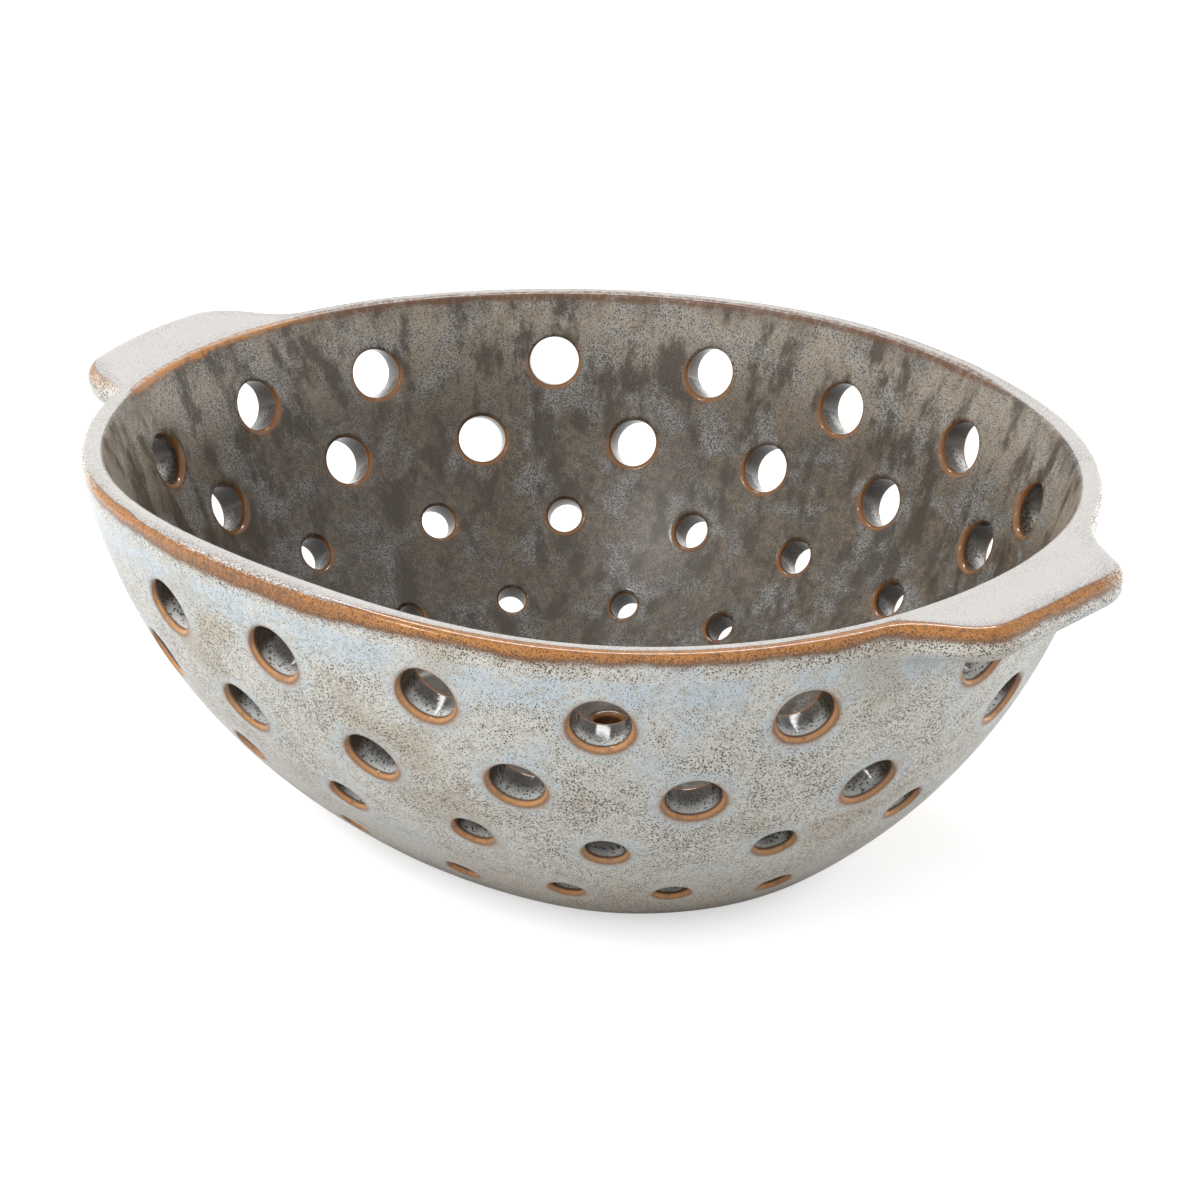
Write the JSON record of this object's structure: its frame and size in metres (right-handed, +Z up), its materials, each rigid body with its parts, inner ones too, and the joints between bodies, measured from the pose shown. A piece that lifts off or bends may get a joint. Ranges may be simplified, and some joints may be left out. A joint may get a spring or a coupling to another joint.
{
  "type": "berry colander bowl",
  "caption": "Oval stoneware berry colander bowl with staggered rows of round holes, a flat-topped rim, two flat lug handles and a bare clay foot ring.",
  "frame": {"origin": "on the standing surface, under the middle of the bowl", "axes": "+X along the bowl's length towards the right lug, +Z up out of the bowl's mouth"},
  "size_m": [0.2472, 0.1932, 0.0835],
  "materials": {
    "speckled_glaze": "glossy",
    "bare_clay": "matt"
  },
  "bodies": {
    "root": {"bowl_body": "speckled_glaze", "left_lug": "speckled_glaze", "right_lug": "speckled_glaze", "foot_ring": "bare_clay"}
  },
  "joints": []
}
